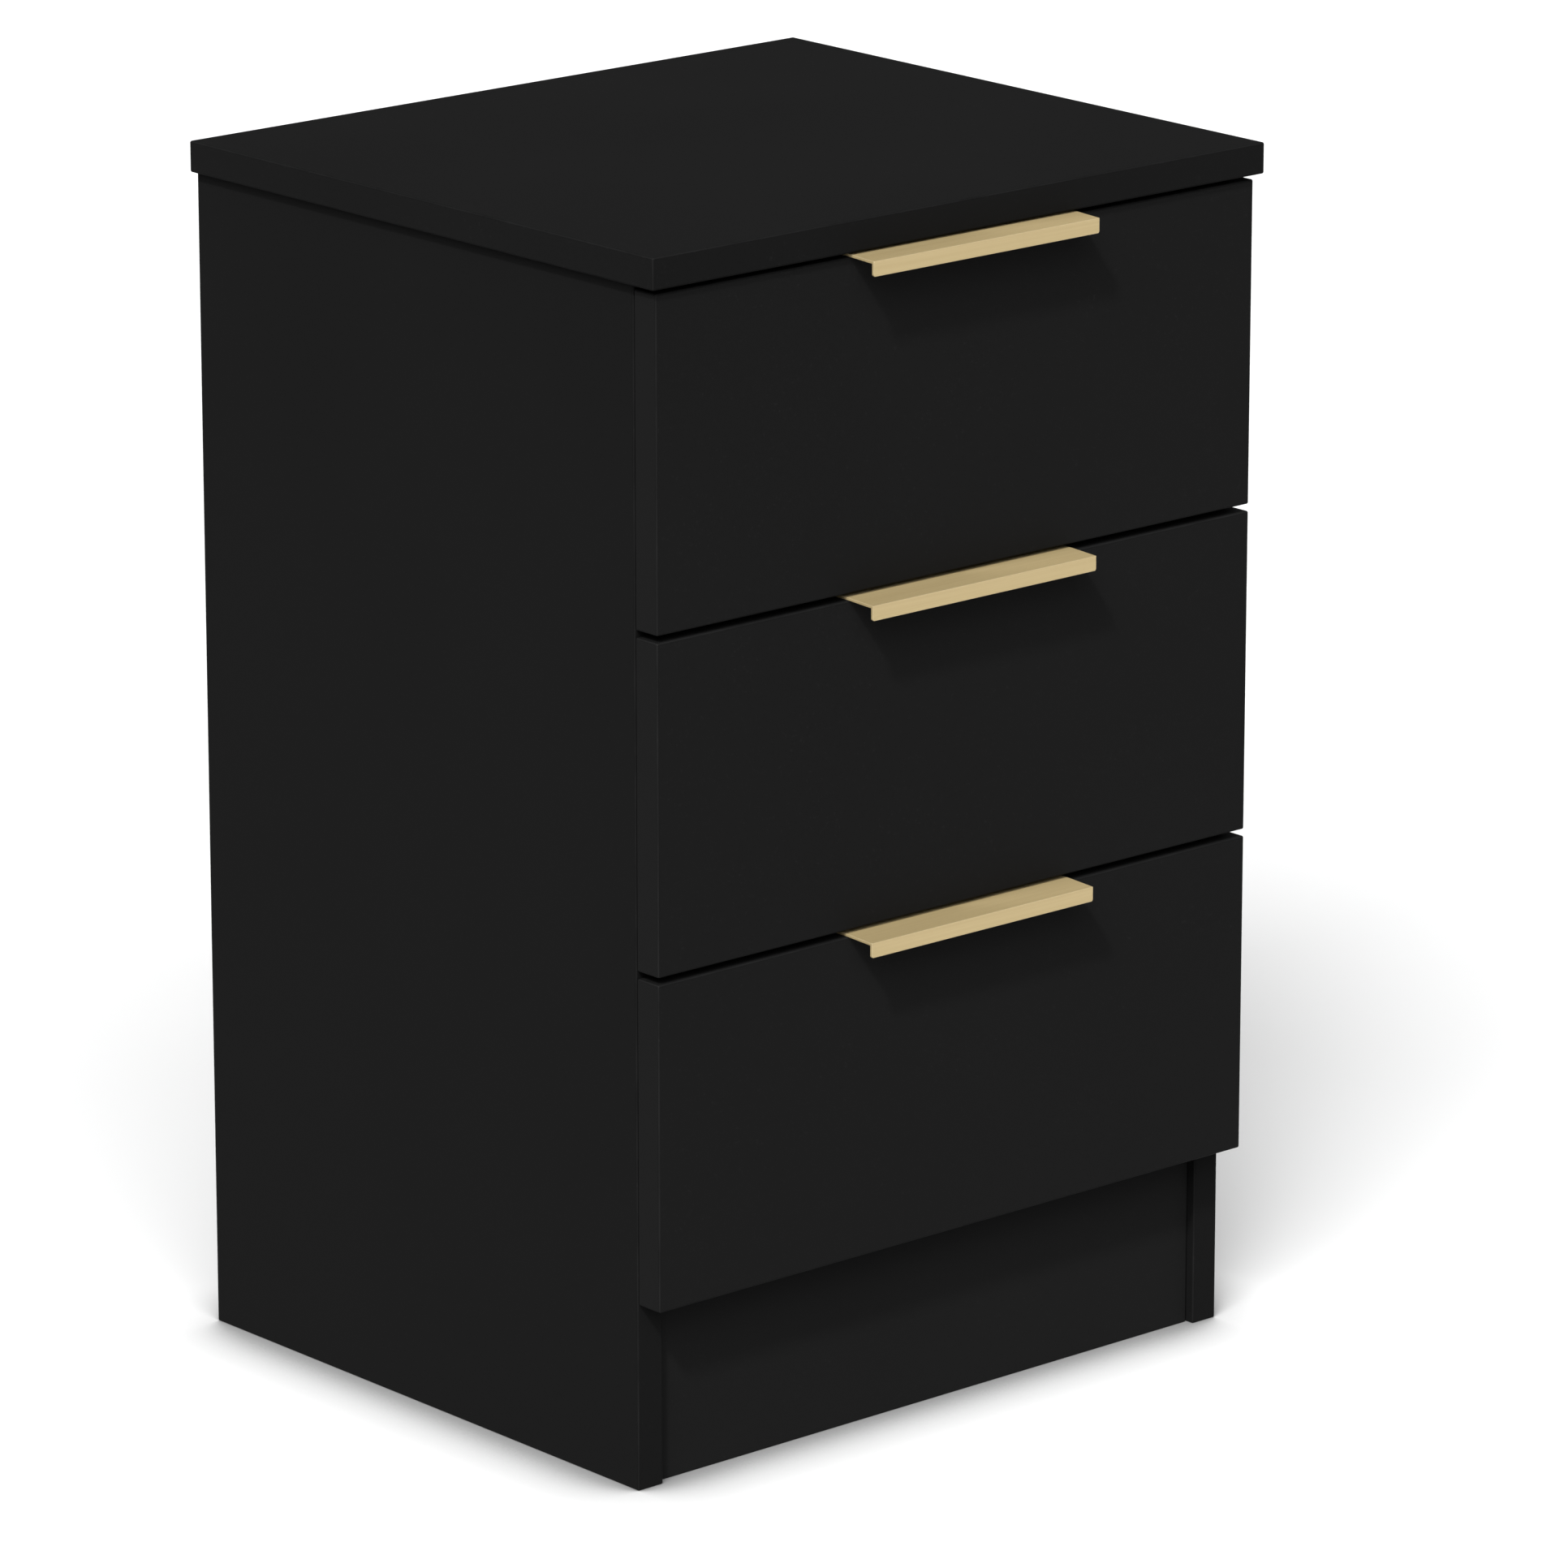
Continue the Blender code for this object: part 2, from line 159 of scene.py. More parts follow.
# The floor: one wide, pale, dull sheet. Close to the cabinet its colour is darkened by a painted
# contact shadow, and the two lamps that would throw a sharp or a forward shadow pass it by.
FLOOR_REACH = 30.0
CONTACT_REACH = 0.060
CONTACT_SAMPLES = 16
SHADE = (                # (openness, tone) from the tightest corner out to the open floor
    (0.50, 0.30), (0.57, 0.37), (0.63, 0.48), (0.70, 0.62), (0.79, 0.745), (0.89, 0.83), (1.0, 0.95),
)
PALE = (0.95, 0.95, 0.95, 1.0)
DULLEST = 0.95
LEAST_DULL = 0.85
floor_mesh = bpy.data.meshes.new("floor")
floor_mesh.from_pydata(
    [
        (-FLOOR_REACH, -FLOOR_REACH, cad_low.z),
        (FLOOR_REACH, -FLOOR_REACH, cad_low.z),
        (FLOOR_REACH, FLOOR_REACH, cad_low.z),
        (-FLOOR_REACH, FLOOR_REACH, cad_low.z),
    ],
    [],
    [(0, 1, 2, 3)],
)
floor = bpy.data.objects.new("floor", floor_mesh)
scene.collection.objects.link(floor)
floor_paint = bpy.data.materials.new("pale_floor")
floor_paint.use_nodes = True
tree = floor_paint.node_tree
# Painted contact shadow: the floor's colour darkens where the cabinet closes it in, for camera rays only.
painted_contact_shade = put(tree, "ShaderNodeAmbientOcclusion", {"Distance": CONTACT_REACH}, samples=CONTACT_SAMPLES)
ramp = put(tree, "ShaderNodeValToRGB", {"Fac": painted_contact_shade.outputs["AO"]})
stops = ramp.color_ramp.elements
while len(stops) < len(SHADE):
    stops.new(1.0)
for stop, (place, tone) in zip(stops, SHADE):
    stop.position = place
    stop.color = (tone, tone, tone, 1.0)
mottle = put(tree, "ShaderNodeTexNoise", {"Scale": 6.0, "Detail": 3.0})
dull = put(
    tree, "ShaderNodeMapRange", {"Value": mottle.outputs["Fac"], "To Min": LEAST_DULL, "To Max": DULLEST}
)
shader = tree.nodes["Principled BSDF"]
seen = put(tree, "ShaderNodeLightPath").outputs["Is Camera Ray"]
paint = blend_colours(tree, seen, PALE, ramp.outputs["Color"])
tree.links.new(paint, shader.inputs["Base Color"])
tree.links.new(dull.outputs[0], shader.inputs["Roughness"])
shader.inputs["Specular IOR Level"].default_value = 0.0
floor_mesh.materials.append(floor_paint)
for lamp in (key_lamp, rear_fill):
    passed_by = bpy.data.collections.new("passed_by_" + lamp.name)
    passed_by.objects.link(floor)
    passed_by.collection_objects[0].light_linking.link_state = "EXCLUDE"
    lamp.light_linking.receiver_collection = passed_by


# Top panel: 18 mm chipboard in matt black foil, with the same foil on a thin strip glued round its
# four edges. It lies on the side panels and stands out a little past them and the drawer fronts.
# The finish made here is worn by the top, side and bottom panels; the plinths wear a copy painted
# lighter.
def new_group(name, inputs, outputs):
    """A shared effect. Inputs are (name, kind, usual value), and outputs (name, kind)."""
    group = bpy.data.node_groups.new(name, "ShaderNodeTree")
    for label, kind, usual in inputs:
        socket = group.interface.new_socket(label, in_out="INPUT", socket_type="NodeSocket" + kind)
        socket.default_value = usual
    for label, kind in outputs:
        group.interface.new_socket(label, in_out="OUTPUT", socket_type="NodeSocket" + kind)
    way_in = group.nodes.new("NodeGroupInput")
    way_out = group.nodes.new("NodeGroupOutput")
    return group, way_in.outputs, way_out.inputs


def use_group(tree, group, inputs=None):
    """Places a shared effect in a material, with that material's own values."""
    return put(tree, "ShaderNodeGroup", inputs, node_tree=group).outputs


def maths(tree, operation, first, second=0.0, third=0.0, clamp=False):
    """One step of arithmetic on sockets or numbers."""
    step = put(
        tree, "ShaderNodeMath", {0: first, 1: second, 2: third}, operation=operation, use_clamp=clamp
    )
    return step.outputs[0]


def vector_maths(tree, operation, first, second):
    """One step of arithmetic on two vectors."""
    return put(tree, "ShaderNodeVectorMath", {0: first, 1: second}, operation=operation).outputs[0]


def noise(tree, where, scale, detail, roughness=0.5):
    """A random pattern from 0 to 1. Its patches are about one over the scale across, in metres."""
    inputs = {"Vector": where, "Scale": scale, "Detail": detail, "Roughness": roughness}
    return put(tree, "ShaderNodeTexNoise", inputs).outputs["Fac"]


# How far a point on a flat board is from the nearest arris, from the board's own two corners.
RUB_SCALE = 45.0         # rubbed patches about 20 mm long
RUB_CONTRAST = 2.6
RUB_OFFSET = -0.8
board_arris, given, result = new_group(
    "board_arris",
    [
        ("Low corner", "Vector", (0.0, 0.0, 0.0)),
        ("High corner", "Vector", (1.0, 1.0, 1.0)),
        ("Strip", "Float", 0.0009),
        ("Line", "Float", 0.00022),
        ("Wear reach", "Float", 0.0011),
    ],
    [("Strip line", "Float"), ("Wear", "Float")],
)
here = put(board_arris, "ShaderNodeTexCoord").outputs["Object"]
from_low = vector_maths(board_arris, "SUBTRACT", here, given["Low corner"])
from_high = vector_maths(board_arris, "SUBTRACT", given["High corner"], here)
nearest = vector_maths(board_arris, "MINIMUM", from_low, from_high)
apart = put(board_arris, "ShaderNodeSeparateXYZ", {0: nearest}).outputs
least = maths(board_arris, "MINIMUM", apart[0], apart[1])
most = maths(board_arris, "MAXIMUM", apart[0], apart[1])
arris = maths(board_arris, "MAXIMUM", least, maths(board_arris, "MINIMUM", most, apart[2]))
off_line = maths(board_arris, "ABSOLUTE", maths(board_arris, "SUBTRACT", arris, given["Strip"]))
line = maths(board_arris, "DIVIDE", off_line, given["Line"])
line = maths(board_arris, "SUBTRACT", 1.0, line, clamp=True)
board_arris.links.new(line, result["Strip line"])
rub = noise(board_arris, here, RUB_SCALE, 4.0)
rub = maths(board_arris, "MULTIPLY_ADD", rub, RUB_CONTRAST, RUB_OFFSET, clamp=True)
near = maths(board_arris, "DIVIDE", arris, given["Wear reach"])
near = maths(board_arris, "SUBTRACT", 1.0, near, clamp=True)
board_arris.links.new(maths(board_arris, "MULTIPLY", near, rub), result["Wear"])

# The skin of a printed matt foil: a fine pebble, a slow unevenness from the press, and rare specks.
CLOUD_SCALE = 7.0        # slow unevenness about 140 mm across
SPECK_SCALE = 900.0
RAREST_SPECK = 0.80      # the noise passes this almost nowhere
SPECK_EDGE = 0.76
SPECK_TONE = 0.5
PEBBLE_TONE = 0.12
PEBBLE_BASE = 0.94
PEBBLE_SHEEN = 0.10
DIMPLE_DEPTH = 0.5
foil_skin, given, result = new_group(
    "foil_skin",
    [("Pebble size", "Float", 0.0006), ("Unevenness", "Float", 0.5)],
    [("Tone", "Float"), ("Sheen change", "Float"), ("Height", "Float")],
)
here = put(foil_skin, "ShaderNodeTexCoord").outputs["Object"]
fineness = maths(foil_skin, "DIVIDE", 1.0, given["Pebble size"])
pebble = noise(foil_skin, here, fineness, 2.0, roughness=0.6)
dimple = put(foil_skin, "ShaderNodeTexVoronoi", {"Vector": here, "Scale": fineness}).outputs["Distance"]
cloud = maths(foil_skin, "SUBTRACT", noise(foil_skin, here, CLOUD_SCALE, 3.0), 0.5)
cloud = maths(foil_skin, "MULTIPLY", cloud, given["Unevenness"])
speck = put(
    foil_skin,
    "ShaderNodeMapRange",
    {"Value": noise(foil_skin, here, SPECK_SCALE, 0.0), "From Min": SPECK_EDGE, "From Max": RAREST_SPECK},
).outputs[0]
tone = maths(foil_skin, "ADD", maths(foil_skin, "MULTIPLY_ADD", pebble, PEBBLE_TONE, PEBBLE_BASE), cloud)
foil_skin.links.new(maths(foil_skin, "MULTIPLY_ADD", speck, SPECK_TONE, tone), result["Tone"])
sheen = maths(foil_skin, "ADD", maths(foil_skin, "MULTIPLY", pebble, PEBBLE_SHEEN), cloud)
foil_skin.links.new(sheen, result["Sheen change"])
foil_skin.links.new(maths(foil_skin, "MULTIPLY_ADD", dimple, DIMPLE_DEPTH, pebble), result["Height"])


def new_finish(name):
    """A material with one Principled shader, ready for its nodes."""
    made = bpy.data.materials.new(name)
    made.use_nodes = True
    return made, made.node_tree, made.node_tree.nodes["Principled BSDF"]


def scale_colour(tree, colour, tone):
    """A colour made darker or lighter by a tone around 1."""
    return put(tree, "ShaderNodeVectorMath", {0: colour, "Scale": tone}, operation="SCALE").outputs[0]


def add_relief(tree, shader, height, strength, depth, normal=None):
    """Gives a surface its fine relief. Depth is in metres."""
    inputs = {"Height": height, "Strength": strength, "Distance": depth}
    if normal is not None:
        inputs["Normal"] = normal
    relief = put(tree, "ShaderNodeBump", inputs)
    tree.links.new(relief.outputs[0], shader.inputs["Normal"])


FOIL_UNEVENNESS = 0.18
STRIP_LINE_TONE = -0.45  # the glue line of the edge strip is darker
STRIP_LINE_DEPTH = -1.5  # and lies a little lower
WORN_TONE = 0.9          # a rubbed arris is lighter
WORN_POLISH = -0.18      # and smoother
FOIL_SHEEN_SPREAD = 0.6
FOIL_RELIEF = 0.00006


def black_foil(name, colour, roughness, gloss, pebble, bump):
    """Matt black foil on a flat board, with its glued strip and lightly rubbed arrises."""
    made, tree, shader = new_finish(name)
    low = put(tree, "ShaderNodeAttribute", attribute_type="OBJECT", attribute_name="board_low")
    high = put(tree, "ShaderNodeAttribute", attribute_type="OBJECT", attribute_name="board_high")
    corners = {"Low corner": low.outputs["Vector"], "High corner": high.outputs["Vector"]}
    edges = use_group(tree, board_arris, corners)
    skin = use_group(tree, foil_skin, {"Pebble size": pebble, "Unevenness": FOIL_UNEVENNESS})
    lined = maths(tree, "MULTIPLY_ADD", edges["Strip line"], STRIP_LINE_TONE, 1.0)
    tone = maths(tree, "MULTIPLY", skin["Tone"], lined)
    tone = maths(tree, "MULTIPLY_ADD", edges["Wear"], WORN_TONE, tone)
    tree.links.new(scale_colour(tree, colour, tone), shader.inputs["Base Color"])
    rough = maths(tree, "MULTIPLY_ADD", skin["Sheen change"], FOIL_SHEEN_SPREAD, roughness)
    rough = maths(tree, "MULTIPLY_ADD", edges["Wear"], WORN_POLISH, rough, clamp=True)
    tree.links.new(rough, shader.inputs["Roughness"])
    shader.inputs["Specular IOR Level"].default_value = gloss
    height = maths(tree, "MULTIPLY_ADD", edges["Strip line"], STRIP_LINE_DEPTH, skin["Height"])
    add_relief(tree, shader, height, bump, FOIL_RELIEF)
    return made


BOARD_COLOUR = (0.0046, 0.0046, 0.0046)
board_foil = black_foil(
    "black_board_foil", BOARD_COLOUR, roughness=0.62, gloss=0.015, pebble=0.0007, bump=0.35
)


def soften(piece, width):
    """Rounds a carried-over piece's arrises a little, without changing its mesh."""
    piece.modifiers.new("one_skin", "WELD").merge_threshold = 0.00001
    rounding = piece.modifiers.new("rounding", "BEVEL")
    rounding.width = width
    rounding.segments = 2
    rounding.limit_method = "ANGLE"
    rounding.angle_limit = math.radians(30.0)


def wear_finish(node, finish, arris_width):
    """Gives a CAD piece its finish, and softens its arrises."""
    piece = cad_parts[node]
    piece.data.materials.clear()
    piece.data.materials.append(finish)
    soften(piece, arris_width)


CARCASS_ARRIS = 0.0003


def wear_foil(node, finish, arris_width=CARCASS_ARRIS):
    """Gives a CAD board its foil, and tells the foil where the board's corners are."""
    wear_finish(node, finish, arris_width)
    low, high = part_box(node)
    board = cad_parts[node]
    board["board_low"] = list(low)
    board["board_high"] = list(high)


wear_foil("top_panel", board_foil)

# Side panels: 18 mm foiled board down to the floor, edged like the top. Each is drilled for the
# dowels and cams that hold the other boards, and has a groove near its rear edge for the back.
for side in ("left", "right"):
    wear_foil("side_panel_" + side, board_foil)

# Bottom panel and plinths: the bottom panel sits on two upright boards between the sides. The front
# one closes the gap under the lowest drawer, and the rear one stands just in front of the back.
# Painted light: the plinths' foil is the carcass foil made lighter, to lift them out of the shade under
# the lowest front.
PLINTH_COLOUR_PAINTED_LIGHTER = (0.0060, 0.0060, 0.0060)
plinth_foil_painted_lighter = black_foil(
    "black_plinth_foil", PLINTH_COLOUR_PAINTED_LIGHTER, roughness=0.62, gloss=0.015, pebble=0.0007, bump=0.35
)
wear_foil("bottom_panel", board_foil)
for node in ("plinth_front", "plinth_rear"):
    wear_foil(node, plinth_foil_painted_lighter)

# Back panel: 3 mm hardboard with a black paper face, slid down the grooves in the side panels. Its
# fibres show faintly through the paper.
HARDBOARD_COLOUR = (0.0080, 0.0078, 0.0075)
HARDBOARD_ROUGHNESS = 0.62
HARDBOARD_GLOSS = 0.1
HARDBOARD_ARRIS = 0.0002
FIBRE_WANDER = 0.02      # how far the fibres are bent aside, in metres
FIBRE_TONE = 0.9
PRESS_TONE = 0.5
PRESS_BASE = 0.3
FIBRE_ROUGHNESS = 0.25


def hardboard(name, colour, roughness):
    """Thin hardboard in black: matted fibres and a dull, uneven skin."""
    made, tree, shader = new_finish(name)
    here = put(tree, "ShaderNodeTexCoord").outputs["Object"]
    bent = put(tree, "ShaderNodeTexNoise", {"Vector": here, "Scale": 60.0, "Detail": 2.0})
    pulled = put(
        tree,
        "ShaderNodeVectorMath",
        {0: bent.outputs["Color"], 1: (FIBRE_WANDER, FIBRE_WANDER, FIBRE_WANDER), 2: here},
        operation="MULTIPLY_ADD",
    ).outputs[0]
    fibre = noise(tree, pulled, 700.0, 5.0, roughness=0.7)
    press = maths(tree, "MULTIPLY_ADD", noise(tree, here, 9.0, 3.0), PRESS_TONE, PRESS_BASE)
    tone = maths(tree, "MULTIPLY_ADD", fibre, FIBRE_TONE, press)
    tree.links.new(scale_colour(tree, colour, tone), shader.inputs["Base Color"])
    rough = maths(tree, "MULTIPLY_ADD", fibre, FIBRE_ROUGHNESS, roughness, clamp=True)
    tree.links.new(rough, shader.inputs["Roughness"])
    shader.inputs["Specular IOR Level"].default_value = HARDBOARD_GLOSS
    add_relief(tree, shader, fibre, 0.5, 0.0001)
    return made


black_hardboard = hardboard("black_hardboard_skin", HARDBOARD_COLOUR, HARDBOARD_ROUGHNESS)
wear_finish("back_panel", black_hardboard, HARDBOARD_ARRIS)

# Cabinet runners: folded zinc-plated steel channels, screwed to the side panels, each with a nylon
# roller riveted at its front end. Zinc plate is a soft grey with a faint blue and straw cast.
BEVEL_SAMPLES = 4
EDGE_BEGINS = 0.99       # agreement of the true and the rounded normal where an edge begins to show
EDGE_FULL = 0.75
rounded_metal_edge, given, result = new_group(
    "rounded_metal_edge",
    [("Reach", "Float", 0.0004)],
    [("Edge", "Float"), ("Normal", "Vector")],
)
rounded = put(
    rounded_metal_edge, "ShaderNodeBevel", {"Radius": given["Reach"]}, samples=BEVEL_SAMPLES
).outputs["Normal"]
flat = put(rounded_metal_edge, "ShaderNodeNewGeometry").outputs["Normal"]
turn = put(rounded_metal_edge, "ShaderNodeVectorMath", {0: rounded, 1: flat}, operation="DOT_PRODUCT")
edge = put(
    rounded_metal_edge,
    "ShaderNodeMapRange",
    {"Value": turn.outputs["Value"], "From Min": EDGE_BEGINS, "From Max": EDGE_FULL},
).outputs[0]
rounded_metal_edge.links.new(edge, result["Edge"])
rounded_metal_edge.links.new(rounded, result["Normal"])

# Fine parallel lines from rolling, brushing or sawing, drawn out along one direction.
STREAK_SHARE = 0.12      # fineness of the broad streaks, as a share of that of the lines
drawn_lines, given, result = new_group(
    "drawn_lines",
    [("Across", "Vector", (1.0, 1.0, 1.0)), ("Fineness", "Float", 4000.0)],
    [("Lines", "Float"), ("Streaks", "Float")],
)
here = put(drawn_lines, "ShaderNodeTexCoord").outputs["Object"]
squeezed = vector_maths(drawn_lines, "MULTIPLY", here, given["Across"])
broad = maths(drawn_lines, "MULTIPLY", given["Fineness"], STREAK_SHARE)
drawn_lines.links.new(noise(drawn_lines, squeezed, given["Fineness"], 3.0), result["Lines"])
drawn_lines.links.new(noise(drawn_lines, squeezed, broad, 2.0), result["Streaks"])

COOL_ZINC = (0.36, 0.37, 0.39, 1.0)
STRAW_ZINC = (0.39, 0.38, 0.335, 1.0)
RUBBED_ZINC = (0.50, 0.51, 0.52, 1.0)
ROLLED_ALONG_Y = (1.0, 0.02, 1.0)
ZINC_FINENESS = 2500.0
ZINC_EDGE_REACH = 0.0004
ZINC_EDGE_WEAR = 0.5
ZINC_SMOOTHEST = 0.22
ZINC_ROUGHENING = 0.16   # added by the lines, and again by the cast
STEEL_ARRIS = 0.00025


def zinc_plate(name, along):
    """Zinc-plated steel, rolled along one direction."""
    made, tree, shader = new_finish(name)
    here = put(tree, "ShaderNodeTexCoord").outputs["Object"]
    rolled = use_group(tree, drawn_lines, {"Across": along, "Fineness": ZINC_FINENESS})
    edges = use_group(tree, rounded_metal_edge, {"Reach": ZINC_EDGE_REACH})
    cast = noise(tree, here, 40.0, 4.0)
    colour = blend_colours(tree, cast, COOL_ZINC, STRAW_ZINC)
    edge_brightening = maths(tree, "MULTIPLY", edges["Edge"], ZINC_EDGE_WEAR)
    colour = blend_colours(tree, edge_brightening, colour, RUBBED_ZINC)
    tree.links.new(colour, shader.inputs["Base Color"])
    shader.inputs["Metallic"].default_value = 1.0
    rough = maths(tree, "MULTIPLY_ADD", cast, ZINC_ROUGHENING, ZINC_SMOOTHEST)
    rough = maths(tree, "MULTIPLY_ADD", rolled["Lines"], ZINC_ROUGHENING, rough)
    tree.links.new(rough, shader.inputs["Roughness"])
    add_relief(tree, shader, rolled["Lines"], 0.25, 0.00004, edges["Normal"])
    return made


zinc = zinc_plate("zinc_plated_steel", ROLLED_ALONG_Y)
DRAWERS = ("top", "middle", "bottom")
SIDES = {"left": -1.0, "right": 1.0}
for drawer in DRAWERS:
    for side in SIDES:
        wear_finish(f"{drawer}_cabinet_runner_{side}", zinc, STEEL_ARRIS)


# Screws: cross-recess, zinc-plated, with a low domed head. Each holds a runner to its board or a
# pull to its drawer front, so only the head shows.
def mesh_from(shape, name):
    """Turns a finished shape into a mesh."""
    mesh = bpy.data.meshes.new(name)
    shape.to_mesh(mesh)
    shape.free()
    return mesh


def turned_mesh(name, profile, steps):
    """A body turned about Z from (radius, height) points. A point with no radius closes an end."""
    shape = bmesh.new()
    rings = []
    for radius, height in profile:
        if radius == 0.0:
            rings.append([shape.verts.new((0.0, 0.0, height))])
            continue
        ring = []
        for step in range(steps):
            angle = 2.0 * math.pi * step / steps
            ring.append(shape.verts.new((radius * math.cos(angle), radius * math.sin(angle), height)))
        rings.append(ring)
    pairs = list(zip(rings, rings[1:]))
    if profile[0][0] > 0.0:
        pairs.append((rings[-1], rings[0]))
    for one, two in pairs:
        for step in range(steps):
            after = (step + 1) % steps
            corners = [
                one[step % len(one)],
                one[after % len(one)],
                two[after % len(two)],
                two[step % len(two)],
            ]
            shape.faces.new(list(dict.fromkeys(corners)))
    bmesh.ops.recalc_face_normals(shape, faces=shape.faces)
    for face in shape.faces:
        face.smooth = True
    return mesh_from(shape, name)


def add_piece(name, mesh, finish, matrix=None):
    """Puts a mesh into the scene with its finish."""
    piece = bpy.data.objects.new(name, mesh)
    scene.collection.objects.link(piece)
    mesh.materials.clear()
    mesh.materials.append(finish)
    if matrix is not None:
        piece.matrix_world = matrix
    return piece


def finished_mesh(piece):
    """The mesh with its modifiers worked in. The piece itself is taken away."""
    bpy.context.view_layer.update()
    ready = piece.evaluated_get(bpy.context.evaluated_depsgraph_get())
    mesh = bpy.data.meshes.new_from_object(ready)
    bpy.data.objects.remove(piece, do_unlink=True)
    return mesh


SCREW_GREY = (0.28, 0.285, 0.30, 1.0)
SCREW_BRIGHT = (0.48, 0.48, 0.465, 1.0)
SCREW_EDGE_REACH = 0.0003
SCREW_EDGE_WEAR = 0.6
SCREW_SMOOTHEST = 0.2
SCREW_ROUGHENING = 0.25


def screw_steel_finish():
    """Bright plated steel with fine turning marks."""
    made, tree, shader = new_finish("screw_plate")
    here = put(tree, "ShaderNodeTexCoord").outputs["Object"]
    fine = noise(tree, here, 2200.0, 4.0)
    edges = use_group(tree, rounded_metal_edge, {"Reach": SCREW_EDGE_REACH})
    share = maths(tree, "MULTIPLY_ADD", edges["Edge"], SCREW_EDGE_WEAR, fine, clamp=True)
    tree.links.new(blend_colours(tree, share, SCREW_GREY, SCREW_BRIGHT), shader.inputs["Base Color"])
    shader.inputs["Metallic"].default_value = 1.0
    rough = maths(tree, "MULTIPLY_ADD", fine, SCREW_ROUGHENING, SCREW_SMOOTHEST)
    tree.links.new(rough, shader.inputs["Roughness"])
    add_relief(tree, shader, fine, 0.2, 0.00003, edges["Normal"])
    return made


screw_plate = screw_steel_finish()
SCREW_FACETS = 32
DOME_STEPS = 5
HEAD_FLAT = 0.35         # flat middle of the head, as a share of its radius
HEAD_WALL = 0.35         # straight edge of the head, as a share of its height
SHANK_SHARE = 0.75       # of the length, before the point begins
RECESS_ARM = 0.62        # these two as shares of the head's radius
RECESS_SLOT = 0.13
RECESS_DEPTH = 0.75      # these two as shares of the head's height
RECESS_TOP = 1.2
RECESS_TAPER = 0.45
CREASE = math.radians(35.0)


def driver_bit(head_radius, head_height):
    """The tapered cross that cuts the recess."""
    arm = head_radius * RECESS_ARM
    slot = head_radius * RECESS_SLOT
    outline = [
        (arm, -slot), (arm, slot), (slot, slot), (slot, arm), (-slot, arm), (-slot, slot),
        (-arm, slot), (-arm, -slot), (-slot, -slot), (-slot, -arm), (slot, -arm), (slot, -slot),
    ]
    top = head_height * RECESS_TOP
    foot = head_height - head_height * RECESS_DEPTH
    shape = bmesh.new()
    upper = [shape.verts.new((x, y, top)) for x, y in outline]
    lower = [shape.verts.new((x * RECESS_TAPER, y * RECESS_TAPER, foot)) for x, y in outline]
    shape.faces.new(upper)
    shape.faces.new(list(reversed(lower)))
    for number in range(len(outline)):
        after = (number + 1) % len(outline)
        shape.faces.new((upper[after], upper[number], lower[number], lower[after]))
    bmesh.ops.recalc_face_normals(shape, faces=shape.faces)
    return add_piece("driver_bit", mesh_from(shape, "driver_bit"), screw_plate)


def screw_mesh(head_radius, head_height, shank_radius, length):
    """A screw along Z with its head up, the head's underside at zero, and a cross cut into it."""
    dome = []
    wall = head_height * HEAD_WALL
    for step in range(DOME_STEPS + 1):
        angle = math.pi / 2 * (1.0 - step / DOME_STEPS)
        out = head_radius * (HEAD_FLAT + (1.0 - HEAD_FLAT) * math.cos(angle))
        dome.append((out, wall + (head_height - wall) * math.sin(angle)))
    profile = [(0.0, head_height)] + dome + [
        (head_radius, 0.0),
        (shank_radius, 0.0),
        (shank_radius, -length * SHANK_SHARE),
        (0.0, -length),
    ]
    screw = add_piece("screw_blank", turned_mesh("screw_blank", profile, SCREW_FACETS), screw_plate)
    cutter = driver_bit(head_radius, head_height)
    recess = screw.modifiers.new("recess", "BOOLEAN")
    recess.operation = "DIFFERENCE"
    recess.solver = "EXACT"
    recess.object = cutter
    mesh = finished_mesh(screw)
    bpy.data.objects.remove(cutter, do_unlink=True)
    mesh.set_sharp_from_angle(angle=CREASE)
    return mesh


def drive_screw(name, mesh, at, out, body):
    """Sets a screw at a point, with its head facing out, on a body."""
    matrix = Matrix.Translation(at) @ out.to_track_quat("Z", "Y").to_matrix().to_4x4()
    screw = add_piece(name, mesh.copy(), screw_plate, matrix)
    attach(screw, body)
    return screw


STEEL = 0.0012
RUNNER_SCREW_HEAD = 0.0032
RUNNER_SCREW_HEAD_HEIGHT = 0.0009
RUNNER_SCREW_SHANK = 0.0015
RUNNER_SCREW_LENGTH = 0.010
SCREW_UP_WEB = 0.45                       # height in the channel, as a share of its own
SCREWS_ALONG_CHANNEL = (0.14, 0.50, 0.92)  # places along the channel, from its front end
runner_screw = screw_mesh(
    RUNNER_SCREW_HEAD, RUNNER_SCREW_HEAD_HEIGHT, RUNNER_SCREW_SHANK, RUNNER_SCREW_LENGTH
)
for drawer in DRAWERS:
    for side, sign in SIDES.items():
        low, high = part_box(f"{drawer}_cabinet_runner_{side}")
        outer_x = high.x if sign > 0.0 else low.x
        web_x = outer_x - sign * STEEL
        screw_z = low.z + SCREW_UP_WEB * (high.z - low.z)
        inwards = Vector((-sign, 0, 0))
        for number, share in enumerate(SCREWS_ALONG_CHANNEL, start=1):
            name = f"{drawer}_cabinet_runner_screw_{side}_{number}"
            at = Vector((web_x, low.y + share * (high.y - low.y), screw_z))
            drive_screw(name, runner_screw, at, inwards, "carcass")

# Rollers: turned white nylon, one at the front of each cabinet runner and one at the rear of each
# drawer runner. Each has a rounded tread, dished faces and a hub round its rivet.
CLEAN_NYLON = (0.52, 0.52, 0.50, 1.0)
DULL_NYLON = (0.42, 0.415, 0.385, 1.0)
NYLON_SMOOTHEST = 0.3
NYLON_ROUGHENING = 0.2
NYLON_GLOW = 0.15                          # share of the light that passes through the skin
NYLON_GLOW_REACH = (0.002, 0.002, 0.0018)  # how far it passes, red, green and blue


